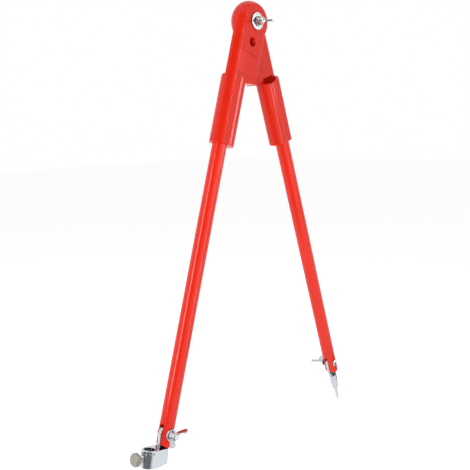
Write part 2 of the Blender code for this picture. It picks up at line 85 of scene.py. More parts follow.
def length(description, millimetres):
    """A length that a user may change, in metres, from its value in millimetres."""
    return FloatProperty(description=description, default=millimetres * MM,
                         subtype="DISTANCE", unit="LENGTH", precision=5)


def angle(description, degrees):
    """An angle that a user may change, from its value in degrees."""
    return FloatProperty(description=description, default=math.radians(degrees),
                         subtype="ANGLE", unit="ROTATION")


def linear(code):
    """Turn an sRGB colour such as #e0301f into linear red, green and blue."""
    values = []
    for index in (1, 3, 5):
        share = int(code[index:index + 2], 16) / 255
        values.append(share / 12.92 if share <= 0.04045 else ((share + 0.055) / 1.055) ** 2.4)
    return tuple(values)


def colour(description, code):
    """A colour that a user may change, from its sRGB code."""
    return FloatVectorProperty(description=description, default=linear(code),
                               subtype="COLOR", size=3, min=0, max=1)


def titled(kind):
    """Give each setting of a group a name in words, after its own identifier."""
    for key, setting in kind.__annotations__.items():
        setting.keywords["name"] = key.replace("_", " ").capitalize()
    return kind


@titled
class CompassArmSettings(bpy.types.PropertyGroup):
    """Sizes of the two moulded arms, which are alike."""

    head_half: length("Half the thickness of the head", 10.4)
    head_rounding: length("Radius of the head's rounded rim", 14.7)
    leg_offset: length("From the pivot's line out to the leg's axis", 10.5)
    rib_radius: length("Radius of the rounded outer side", 11.7)
    grip_offset: length("Axis of the rounder inner side of the socket", 4.4)
    grip_radius: length("Radius of the socket's inner side", 10.8)
    plate_inner: length("From the pivot's line to the plate's inner edge", 16.3)
    plate_edge: length("Rounding of the plate's inner edge", 1.2)
    shoulder: length("From the pivot down to the shoulder, an arc about the pivot", 68.0)
    corner_clearance: length("Room between a plate's corner and a shoulder", 1.1)
    plate_slant: angle("Slant of the plate's lower edge", 13.6)
    channel_rise: length("How far the leg's channel runs above the shoulder", 5.2)
    socket_length: length("Length of the leg's socket", 70.0)
    hole_drop: length("From the pivot down to the open hole", 23.1)
    hole_radius: length("Radius of the open hole", 5.0)
    panel_drop: length("From the pivot down to the sunken panel", 36.0)
    panel_length: length("Length of the sunken panel", 24.0)
    panel_margin: length("From the panel to the plate's inner edge", 3.2)
    panel_depth: length("Depth of the sunken panel", 0.4)
    panel_corner: length("Radius of the panel's upper corner", 4.0)
    edge: length("Rounding of the moulded edges", 0.45)


@titled
class CompassLegSettings(bpy.types.PropertyGroup):
    """Sizes of the two legs and of their forks."""

    lean: angle("Angle of each leg from the vertical", 17.84)
    radius: length("Radius of the rod", 8.0)
    top: length("From the pivot down to the rod's top in its socket", 78.0)
    foot_drop: length("From the pivot down to the left foot's bolt", 439.8)
    fork_depth: length("From the foot's bolt up to the top of the slot", 9.2)
    fork_reach: length("From the foot's bolt down to the fork's round end", 12.7)
    slot_half: length("Half the width of the slot", 2.3)
    spot_half: length("From the middle to the flat that the washer sits on", 7.3)
    edge: length("Rounding of the rod's edges", 0.35)


@titled
class CompassFastenerSettings(bpy.types.PropertyGroup):
    """Sizes of the bolts, washers and wing nuts."""

    bolt_radius: length("Radius of the bolts' shanks", 3.0)
    pitch: length("Pitch of the bolts' threads", 1.0)
    hole_radius: length("Radius of the bolts' holes", 3.3)
    proud: length("How far a bolt stands out of its nut", 1.2)
    pivot_head_radius: length("Radius of the pivot bolt's head", 6.5)
    pivot_head_height: length("Height of the pivot bolt's head", 3.6)
    foot_head_radius: length("Radius of the foot bolts' heads", 4.2)
    foot_head_height: length("Height of the foot bolts' heads", 1.2)
    pivot_washer: length("Radius of the pivot's washers", 9.1)
    foot_washer: length("Radius of the feet's washers", 6.2)
    washer_thickness: length("Thickness of the washers", 1.6)
    nut_base: length("Radius of a wing nut's hub at its base", 5.0)
    nut_top: length("Radius of a wing nut's hub at its top", 4.0)
    nut_height: length("Height of a wing nut's hub", 6.0)
    wing_span: length("Width over both wings", 25.6)
    wing_height: length("Height of the wings above the base", 13.3)
    wing_tip: length("Radius of the wings' round tips", 3.1)
    wing_thickness: length("Thickness of the wings", 2.0)
    thread_depth: length("Depth of the bolts' threads", 0.3)
    seat: length("Gap between pieces that touch", 0.3)
    pencil_nut_turn: angle("How the pencil foot's wings are turned", 45.0)


@titled
class CompassHolderSettings(bpy.types.PropertyGroup):
    """Sizes of the pencil holder and of its clamp."""

    tilt: angle("Tilt of the holder from the leg's line", 7.0)
    tongue_radius: length("Round top of the tongue", 8.6)
    tongue_half: length("Half the tongue's thickness", 2.0)
    top: length("From the bolt down to the block's top", 13.1)
    height: length("Height of the block", 17.3)
    inner: length("From the bolt's line out to the block's inner end", 1.0)
    corner: length("Rounding of the block's upright corners", 1.2)
    edge: length("Rounding of the casting's other edges", 0.4)
    slope: length("How far the underside rises towards the inner end", 2.1)
    pencil_offset: length("From the bolt's line out to the pencil's axis", 19.8)
    pencil_radius: length("Radius of the pencil's bore", 5.9)
    ring_radius: length("Outer radius of the ring", 8.3)
    groove_drop: length("From the ring's top down to the groove", 2.2)
    groove_width: length("Width of the groove below the rim", 1.0)
    groove_depth: length("Depth of the groove below the rim", 0.9)
    screw_radius: length("Radius of the clamp screw", 2.5)
    screw_drop: length("From the bolt down to the screw's axis", 20.7)
    screw_pitch: length("Pitch of the clamp screw's thread", 0.8)
    screw_depth: length("Depth of the clamp screw's thread", 0.44)
    knob_start: length("From the bolt's line out to the knob", 34.3)
    knob_length: length("Length of the knob", 5.4)
    knob_grip: length("Depth of the screw's hole in the knob", 3.9)
    knob_radius: length("Radius of the knob over its knurl", 7.0)
    knob_rim: length("Width of the smooth rims beside the knurl", 0.9)
    knob_chamfer: length("Chamfer of the knob's ends", 0.5)
    knurl_depth: length("Depth of the knurl", 0.4)
    knurl_count: IntProperty(description="Ridges round the knob", default=34, min=8)


@titled
class CompassSpikeSettings(bpy.types.PropertyGroup):
    """Sizes of the spike and of its holder."""

    tongue_radius: length("Round top of the tongue", 7.6)
    tongue_half: length("Half the tongue's thickness", 2.0)
    body_drop: length("From the bolt down to the round body", 20.0)
    body_length: length("Length of the round body", 21.0)
    top_radius: length("Radius of the body at its top", 5.2)
    end_radius: length("Radius of the body at its end", 4.3)
    chamfer: length("Chamfer of the body's rims", 0.6)
    edge: length("Rounding of the body's edges", 0.3)
    radius: length("Radius of the spike", 2.15)
    reach: length("From the body's end to the tip", 21.6)
    socket: length("Depth of the spike's hole in the body", 8.0)
    tip: length("Radius of the tip", 0.15)


@titled
class CompassStageSettings(bpy.types.PropertyGroup):
    """The camera and the colours."""

    azimuth: angle("Direction of the camera's look, from +Y towards -X", -47.52)
    pitch: angle("How far the camera looks down", 8.70)
    roll: angle("Roll of the camera", -1.62)
    lens: length("Focal length on a sensor of 36 mm", 52.80)
    camera_offset: FloatVectorProperty(
        description="The camera's place from the pivot", subtype="TRANSLATION", unit="LENGTH",
        default=(-0.58064, -0.50192, -0.11339))
    arm_red: colour("Colour of the moulded arms", "#ea260e")
    leg_red: colour("Colour of the legs", "#f2280e")
    zinc: colour("Colour of the zinc plating", "#cbcfd4")
    chrome: colour("Colour of the bright plating", "#c8ced4")
    nickel: colour("Colour of the knob's dull plating", "#aeaa9f")
    floor_white: colour("Colour of the floor", "#f4f4f4")


def sizes_of(group):
    """The settings of one group."""
    return getattr(bpy.context.scene, "compass_" + group)


# Mesh tools

def arc(centre_x, centre_y, radius, start, end, steps):
    """Points of an arc from one angle to another, ends included."""
    points = []
    for index in range(steps + 1):
        turn = start + (end - start) * index / steps
        points.append((centre_x + radius * math.cos(turn), centre_y + radius * math.sin(turn)))
    return points


def show(name, shape):
    """Turn a bmesh into an object of the scene."""
    mesh = bpy.data.meshes.new(name)
    bmesh.ops.recalc_face_normals(shape, faces=shape.faces)
    shape.to_mesh(mesh)
    shape.free()
    made = bpy.data.objects.new(name, mesh)
    bpy.context.scene.collection.objects.link(made)
    return made


def outlined(name, outline, low, high):
    """Extrude a flat outline in X and Y between two heights."""
    shape = bmesh.new()
    face = shape.faces.new([shape.verts.new((round(x, EXACT), round(y, EXACT), low)) for x, y in outline])
    raised = bmesh.ops.extrude_face_region(shape, geom=[face])["geom"]
    for item in raised:
        if isinstance(item, bmesh.types.BMVert):
            item.co.z = high
    return show(name, shape)


def turned(name, profile, sides):
    """Turn a profile of radius and height about local Z."""
    shape = bmesh.new()
    points = [shape.verts.new((round(radius, EXACT), 0, round(height, EXACT))) for radius, height in profile]
    edges = [shape.edges.new(pair) for pair in zip(points, points[1:])]
    bmesh.ops.spin(shape, geom=points + edges, cent=(0, 0, 0), axis=(0, 0, 1),
                   angle=2 * math.pi, steps=sides, use_merge=True)
    bmesh.ops.remove_doubles(shape, verts=shape.verts, dist=MERGE)
    return show(name, shape)


def formed(name, heights, sides, radius_at):
    """A closed round body whose radius is a function of the height and the angle."""
    shape = bmesh.new()
    rings = []
    for height in heights:
        ring = []
        for index in range(sides):
            turn = 2 * math.pi * index / sides
            radius = radius_at(height, turn)
            ring.append(shape.verts.new((radius * math.cos(turn), radius * math.sin(turn), height)))
        rings.append(ring)
    for lower, upper in zip(rings, rings[1:]):
        for index in range(sides):
            after = (index + 1) % sides
            shape.faces.new((lower[index], lower[after], upper[after], upper[index]))
    for ring in (rings[0], rings[-1]):
        shape.faces.new(ring)
    return show(name, shape)


def spread(start, end, count):
    """Evenly spaced values, ends included."""
    return [start + (end - start) * index / count for index in range(count + 1)]


def placed(made, matrix):
    """Move the object's mesh by a matrix."""
    made.data.transform(matrix)
    return made


def combine(target, tool, operation):
    """Join, cut or intersect with a tool, and remove the tool."""
    step = target.modifiers.new("step", "BOOLEAN")
    step.operation = operation
    step.solver = "EXACT"
    step.object = tool
    bake(target)
    bpy.data.objects.remove(tool)


def drill(target, radius, low, high, sides=64, matrix=Matrix.Identity(4)):
    """Cut a round hole along the matrix's Z between two heights."""
    tool = turned("tool", [(0, high), (radius, high), (radius, low), (0, low)], sides)
    combine(target, placed(tool, matrix), "DIFFERENCE")


def bake(made):
    """Replace the object's mesh with its evaluated one."""
    graph = bpy.context.evaluated_depsgraph_get()
    mesh = bpy.data.meshes.new_from_object(made.evaluated_get(graph))
    made.modifiers.clear()
    made.data = mesh


def smoothed(made, degrees=35):
    """Shade the object smooth, except over edges that turn by more than an angle."""
    made.data.shade_smooth()
    made.data.set_sharp_from_angle(angle=math.radians(degrees))
    return made


def soften(made, width, crisp=(), joined=True):
    """Round the sharp edges by a small radius, except near the crisp spots, and shade the result smooth."""
    shape = bmesh.new()
    shape.from_mesh(made.data)
    bmesh.ops.remove_doubles(shape, verts=shape.verts, dist=MERGE)
    if joined:
        bmesh.ops.dissolve_limit(shape, angle_limit=FLATTEN, verts=shape.verts, edges=shape.edges)
    weight = shape.edges.layers.float.new("bevel_weight_edge")
    for edge in shape.edges:
        near = any((vert.co - spot).length < reach for vert in edge.verts for spot, reach in crisp)
        edge[weight] = float(edge.calc_face_angle(0) > CREASE and not near)
    shape.to_mesh(made.data)
    shape.free()
    bevel = made.modifiers.new("edges", "BEVEL")
    bevel.width = width
    bevel.segments = 3
    bevel.limit_method = "WEIGHT"
    bevel.use_clamp_overlap = False
    bevel.miter_outer = "MITER_ARC"
    bake(made)
    normals = smoothed(made, 40).modifiers.new("normals", "WEIGHTED_NORMAL")
    normals.keep_sharp = True
    # The broadest face decides a corner's normal, so that flat faces stay flat to the eye
    normals.weight = 100


ACROSS = Matrix(((1, 0, 0, 0), (0, 0, 1, 0), (0, -1, 0, 0), (0, 0, 0, 1)))
UPRIGHT = Matrix(((1, 0, 0, 0), (0, 0, -1, 0), (0, 1, 0, 0), (0, 0, 0, 1)))
ALONG = Matrix(((0, 0, 1, 0), (0, 1, 0, 0), (-1, 0, 0, 0), (0, 0, 0, 1)))


def side_frame(side):
    """Frame of one arm: X outward, Y to the plate's outer face, -Z down the leg."""
    lean = sizes_of("leg").lean
    if side == "left":
        return Matrix.Translation(PIVOT) @ Matrix.Rotation(lean, 4, "Y") @ Matrix.Rotation(math.pi, 4, "Z")
    return Matrix.Translation(PIVOT) @ Matrix.Rotation(-lean, 4, "Y")


def foot_frame(side):
    """Frame of one foot's bolt, along its leg."""
    foot = side_frame(side)
    foot.translation = PENCIL_FOOT if side == "left" else SPIKE_FOOT
    return foot


def dress(made, matrix, node, body, look):
    """Place a piece, give it its material and its body, and hide the CAD piece that it stands for."""
    placed(made, matrix)
    made.data.materials.clear()
    made.data.materials.append(look)
    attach(made, body)
    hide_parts(node)


# Materials

def add_node(tree, kind, settings=None, inputs=None):
    """Add a node with its settings, and its inputs as values or as links from other nodes' outputs."""
    made = tree.nodes.new(kind)
    for key, value in (settings or {}).items():
        setattr(made, key, value)
    for key, value in (inputs or {}).items():
        if isinstance(value, bpy.types.NodeSocket):
            tree.links.new(value, made.inputs[key])
        else:
            made.inputs[key].default_value = value
    return made


def maths(tree, operation, *values):
    """Work out one number from others."""
    return add_node(tree, "ShaderNodeMath", {"operation": operation}, dict(enumerate(values))).outputs[0]


def vectors(tree, operation, *values):
    """Work with vectors, and give the node's outputs, which are named Vector and Value."""
    return add_node(tree, "ShaderNodeVectorMath", {"operation": operation}, dict(enumerate(values))).outputs


def material(name, paint, tone):
    """Find a material by its name, or make it and paint it in a tone, by the object's own coordinates."""
    made = bpy.data.materials.get(name)
    if made is None:
        made = bpy.data.materials.new(name)
        made.use_nodes = True
        tree = made.node_tree
        place = add_node(tree, "ShaderNodeTexCoord").outputs["Object"]
        paint(tree, tree.nodes["Principled BSDF"], place, tone)
    return made


def ramp(tree, source, low, high, low_value=0.0, high_value=1.0):
    """Map a range of a value onto another range."""
    inputs = {"Value": source, "From Min": low, "From Max": high, "To Min": low_value, "To Max": high_value}
    return add_node(tree, "ShaderNodeMapRange", None, inputs).outputs["Result"]


def tint(tree, factor, first, second):
    """Mix two linear colours by a factor."""
    mix = add_node(tree, "ShaderNodeMix", {"data_type": "RGBA"})
    tree.links.new(factor, mix.inputs["Factor"])
    mix.inputs[6].default_value = (*first, 1)
    mix.inputs[7].default_value = (*second, 1)
    return mix.outputs[2]


def noise(tree, place, millimetres, detail, stretch=(1, 1, 1)):
    """Noise whose grain is about so many millimetres wide."""
    moved = add_node(tree, "ShaderNodeMapping", None, {"Vector": place, "Scale": stretch}).outputs["Vector"]
    inputs = {"Vector": moved, "Scale": 1 / (millimetres * MM), "Detail": detail, "Roughness": 0.55}
    return add_node(tree, "ShaderNodeTexNoise", None, inputs).outputs["Fac"]


def bump(tree, shader, height, millimetres, strength):
    """Raise the surface by a height map of so many millimetres."""
    inputs = {"Height": height, "Distance": millimetres * MM, "Strength": strength}
    made = add_node(tree, "ShaderNodeBump", None, inputs)
    tree.links.new(made.outputs["Normal"], shader.inputs["Normal"])


def painted_recess_shade(tree, reach, floor_value):
    """Painted shade: one on open faces, falling to a low value in bores, slots and corners narrower than the
    reach, where shade falls.
    """
    open_share = add_node(tree, "ShaderNodeAmbientOcclusion", {"samples": 8}, {"Distance": reach})
    return ramp(tree, open_share.outputs["AO"], 0.3, 0.75, floor_value)


def dimmed(tree, colour_out, factor):
    """Multiply a colour by a factor."""
    inputs = {0: colour_out, "Scale": factor}
    return add_node(tree, "ShaderNodeVectorMath", {"operation": "SCALE"}, inputs).outputs[0]


def shade(colour_value, factor):
    """A darker or lighter version of a linear colour."""
    return tuple(min(channel * factor, 1.0) for channel in colour_value)


def moulded_nylon(tree, shader, place, red):
    """Nylon, injection moulded and through coloured.

    It gives broad soft highlights, a faint mottle where the melt flowed and a fine eroded grain.
    """
    flow = noise(tree, place, 16.0, 2, (1, 1, 0.35))
    colour_out = tint(tree, ramp(tree, flow, 0.3, 0.7), shade(red, 0.93), shade(red, 1.05))
    tree.links.new(colour_out, shader.inputs["Base Color"])
    grain = noise(tree, place, 0.6, 3)
    tree.links.new(ramp(tree, grain, 0.3, 0.7, 0.1, 0.16), shader.inputs["Roughness"])
    shader.inputs["Specular IOR Level"].default_value = 0.34
    # The eroded grain is 0.1 mm in the real mould, and is drawn at 0.6 mm so that it shows
    bump(tree, shader, grain, 0.004, 0.5)


def lacquered_rod(tree, shader, place, red):
    """Enamel on a drawn rod, dipped and baked.

    It gives tighter highlights than the moulding, with a slight ripple along the rod.
    """
    drift = noise(tree, place, 30.0, 2, (1, 1, 0.25))
    colour_out = tint(tree, ramp(tree, drift, 0.3, 0.7), shade(red, 0.94), shade(red, 1.04))
    tree.links.new(colour_out, shader.inputs["Base Color"])
    ripple = noise(tree, place, 2.5, 2, (1, 1, 0.5))
    tree.links.new(ramp(tree, ripple, 0.3, 0.7, 0.12, 0.18), shader.inputs["Roughness"])
    shader.inputs["Specular IOR Level"].default_value = 0.4
    bump(tree, shader, ripple, 0.01, 0.5)


def zinc_plate(tree, shader, place, grey):
    """Steel, bright zinc plated in a barrel.

    It gives a light grey metal whose sheen drifts a little to blue and straw, with small dull knocks
    and painted shade that darkens its corners and recesses.
    """
    drift = noise(tree, place, 3.0, 2)
    straw = (min(grey[0] * 1.04, 1.0), grey[1], grey[2] * 0.88)
    blue = (grey[0] * 0.9, grey[1] * 0.96, min(grey[2] * 1.04, 1.0))
    sheen = tint(tree, ramp(tree, drift, 0.35, 0.65), blue, straw)
    # Painted shade: the base colour darkens in corners and where other pieces come close
    tree.links.new(dimmed(tree, sheen, painted_recess_shade(tree, 4 * MM, 0.2)), shader.inputs["Base Color"])
    shader.inputs["Metallic"].default_value = 1.0
    knocks = noise(tree, place, 0.7, 4)
    tree.links.new(ramp(tree, knocks, 0.35, 0.7, 0.16, 0.34), shader.inputs["Roughness"])
    bump(tree, shader, knocks, 0.02, 0.4)


def chrome_plate(tree, shader, place, grey):
    """Zinc alloy, die cast, buffed and chrome plated.

    It gives a near mirror with soft waves left by the buffing wheel, and painted shade that darkens
    its bores and slots.
    """
    haze = noise(tree, place, 2.2, 3)
    bright = tint(tree, ramp(tree, haze, 0.3, 0.7), shade(grey, 0.9), shade(grey, 1.05))
    # Painted shade: bores, slots and corners darken the base colour
    tree.links.new(dimmed(tree, bright, painted_recess_shade(tree, 9 * MM, 0.08)), shader.inputs["Base Color"])
    shader.inputs["Metallic"].default_value = 1.0
    tree.links.new(ramp(tree, haze, 0.3, 0.75, 0.09, 0.2), shader.inputs["Roughness"])
    wave = noise(tree, place, 3.5, 1)
    bump(tree, shader, wave, 0.05, 0.5)


def dull_nickel(tree, shader, place, grey):
    """Steel, knurled and barrel nickelled.

    It gives a dull warm grey, with a random darker and lighter mottle.
    """
    grime = noise(tree, place, 1.4, 4)
    tree.links.new(tint(tree, ramp(tree, grime, 0.3, 0.65), shade(grey, 0.7), shade(grey, 1.1)),
                   shader.inputs["Base Color"])
    shader.inputs["Metallic"].default_value = 0.9
    tree.links.new(ramp(tree, grime, 0.3, 0.7, 0.5, 0.36), shader.inputs["Roughness"])
    bump(tree, shader, grime, 0.03, 0.4)


# Pieces

class COMPASS_OT_arms(bpy.types.Operator):
    """Make the two moulded arms"""

    bl_idname = "compass.arms"
    bl_label = "Moulded arms"

    def execute(self, context):
        """Build one arm from its sections, and place it twice."""
        sizes = sizes_of("arm")
        look = material("moulded nylon, red", moulded_nylon, sizes_of("stage").arm_red)
        crisp = self.crisp_spots(sizes)
        for side, body in (("left", "pencil_side"), ("right", "spike_side")):
            made = self.arm(side + "_arm_moulding", sizes)
            soften(made, sizes.edge, crisp)
            dress(made, side_frame(side), side + "_arm", body, look)
        return {"FINISHED"}

    def crisp_spots(self, sizes):
        """The places where several roundings meet, whose edges stay crisp, with the reach of each."""
        half = sizes.head_half
        rim = sizes.leg_offset + sizes.rib_radius
        corner = Vector((rim, 0, -math.sqrt(sizes.shoulder ** 2 - rim ** 2)))
        flat = math.sqrt(sizes.rib_radius ** 2 - half ** 2) + sizes.leg_offset
        meeting = Vector((-flat, 0, -sizes.plate_inner))
        half_step = math.sqrt(sizes.grip_radius ** 2 - half ** 2)
        step = Vector((sizes.grip_offset, half, corner.z))
        toe = Vector((sizes.grip_offset - half_step, half, -sizes.shoulder - sizes.corner_clearance))
        head_flat = rim - sizes.head_rounding + math.sqrt(sizes.head_rounding ** 2 - half ** 2)
        inner_flat = sizes.plate_inner - sizes.plate_edge
        brow = Vector((-inner_flat, half, -math.sqrt(head_flat ** 2 - inner_flat ** 2)))
        temple = Vector((flat, half, -math.sqrt(head_flat ** 2 - flat ** 2)))
        return ((corner, 2.2 * MM), (meeting, 2.4 * MM), (brow, 2.2 * MM), (temple, 1.2 * MM),
                (step, half_step + 0.5 * MM), (toe, 1.5 * MM))

    def arm(self, name, sizes):
        """One arm in its own frame."""
        half = sizes.head_half
        seat = sizes_of("fasteners").seat
        lap = seat / 2
        rim = sizes.leg_offset + sizes.rib_radius
        flat_angle = math.asin(half / sizes.rib_radius)
        outer = arc(sizes.leg_offset, 0, sizes.rib_radius, math.asin(lap / sizes.rib_radius), flat_angle, 24)
        toe = sizes.shoulder + sizes.corner_clearance
        corner_drop = math.sqrt((sizes.shoulder - sizes.corner_clearance) ** 2 - sizes.plate_inner ** 2)
        soft = sizes.plate_edge
        edge = arc(soft - sizes.plate_inner, half - soft, soft, math.pi / 2, math.pi, 6)
        plate = [(-sizes.plate_inner, lap)] + outer + edge
        made = outlined(name, plate, -toe, 0)

        rise = math.tan(sizes.plate_slant)
        run = (toe - corner_drop) / rise
        left = -sizes.plate_inner - OVERRUN
        slant = [(left, OVERRUN * rise - corner_drop), (left, -toe - OVERRUN * rise),
                 (-sizes.plate_inner + run + OVERRUN, -toe - OVERRUN * rise)]
        wedge = placed(outlined("wedge", slant, -half - OVERRUN, OVERRUN), UPRIGHT)
        combine(made, wedge, "DIFFERENCE")

        # Below this height the socket takes over the rounded side from the plate
        peak = round(-math.sqrt(sizes.shoulder ** 2 - rim ** 2), EXACT)
        takeover = [(sizes.leg_offset, -OVERRUN), (rim + OVERRUN, -OVERRUN),
                    (rim + OVERRUN, half + OVERRUN), (sizes.leg_offset, half + OVERRUN)]
        combine(made, outlined("takeover", takeover, -toe - OVERRUN, peak), "DIFFERENCE")

        # The head's rim is fuller than the arm's rounded side
        head_start = math.asin(lap / sizes.head_rounding)
        head_end = math.asin(half / sizes.head_rounding)
        rounding = arc(rim - sizes.head_rounding, 0, sizes.head_rounding, head_end, head_start, 24)
        disc = turned("disc", [(0, half)] + rounding + [(0, lap)], 144)
        combine(made, placed(disc, ACROSS), "UNION")

        grip_angle = math.acos(math.sqrt(sizes.grip_radius ** 2 - half ** 2) / sizes.grip_radius)
        lower = [(x, -y) for x, y in reversed(outer)]
        grip = arc(sizes.grip_offset, 0, sizes.grip_radius, grip_angle, 2 * math.pi - grip_angle, 60)
        end = sizes.shoulder + sizes.socket_length
        combine(made, outlined("socket", lower + outer + grip, -end, peak), "UNION")

        drill(made, sizes_of("leg").radius + seat, -end - OVERRUN, sizes.channel_rise - sizes.shoulder,
              matrix=Matrix.Translation((sizes.leg_offset, 0, 0)))

        first = math.asin(-sizes.grip_radius / sizes.shoulder) - math.pi / 2
        last = math.asin((rim + OVERRUN) / sizes.shoulder) - math.pi / 2
        sweep = arc(0, 0, sizes.shoulder, first, last, 40)
        sweep += [(rim + OVERRUN, peak + OVERRUN), (-sizes.grip_radius, peak + OVERRUN)]
        combine(made, placed(outlined("scoop", sweep, -lap, half + OVERRUN), UPRIGHT), "DIFFERENCE")

        for drop, radius in ((0, sizes_of("fasteners").hole_radius), (sizes.hole_drop, sizes.hole_radius)):
            drill(made, radius, -OVERRUN, half + OVERRUN, matrix=Matrix.Translation((0, 0, -drop)) @ ACROSS)

        inner = sizes.panel_margin - sizes.plate_inner
        low = -sizes.panel_drop - sizes.panel_length
        panel = [(rim, -sizes.panel_drop)]
        panel += arc(inner + sizes.panel_corner, -sizes.panel_drop - sizes.panel_corner, sizes.panel_corner,
                     math.pi / 2, math.pi, 10)
        panel += [(inner, low), (rim, low)]
        sink = outlined("panel", panel, -half - OVERRUN, sizes.panel_depth - half)
        combine(made, placed(sink, UPRIGHT), "DIFFERENCE")
        return made


class COMPASS_OT_legs(bpy.types.Operator):
    """Make the two legs"""

    bl_idname = "compass.legs"
    bl_label = "Legs"

    def execute(self, context):
        """Build each rod with its fork."""
        sizes = sizes_of("leg")
        look = material("enamelled rod, red", lacquered_rod, sizes_of("stage").leg_red)
        for side, body in (("left", "pencil_side"), ("right", "spike_side")):
            made = self.leg(side + "_leg_rod", sizes)
            soften(made, sizes.edge, joined=False)
            matrix = foot_frame(side) @ Matrix.Translation((0, 0, sizes.foot_drop))
            dress(made, matrix, side + "_leg", body, look)
        return {"FINISHED"}

    def leg(self, name, sizes):
        """One rod in its own frame."""
        fasteners = sizes_of("fasteners")
        end = sizes.foot_drop + sizes.fork_reach
        # Rings between the plain rod and the fork keep the rod's long faces whole
        rings = [(sizes.radius, -sizes.foot_drop + rise) for rise in (90 * MM, 30 * MM, 16 * MM)]
        profile = [(0, -sizes.top), (sizes.radius, -sizes.top)] + rings + [(sizes.radius, -end), (0, -end)]
        made = turned(name, profile, 96)
        wide = sizes.radius + OVERRUN
        reach = math.asin(wide / sizes.fork_reach)
        sweep = arc(0, -sizes.foot_drop, sizes.fork_reach, -math.pi / 2 - reach, -math.pi / 2 + reach, 32)
        sweep += [(wide, -end - OVERRUN), (-wide, -end - OVERRUN)]
        combine(made, placed(outlined("rounder", sweep, -wide, wide), UPRIGHT), "DIFFERENCE")
        top = sizes.fork_depth - sizes.foot_drop
        slot = [(-wide, -sizes.slot_half), (wide, -sizes.slot_half),
                (wide, sizes.slot_half), (-wide, sizes.slot_half)]
        combine(made, outlined("slot", slot, -end - OVERRUN, top), "DIFFERENCE")
        for low, high, radius in ((-wide, wide, fasteners.hole_radius),
                                  (-wide, -sizes.spot_half, fasteners.foot_washer + fasteners.seat),
                                  (sizes.spot_half, wide, fasteners.foot_washer + fasteners.seat)):
            drill(made, radius, low, high, matrix=Matrix.Translation((0, 0, -sizes.foot_drop)) @ ACROSS)
        return made


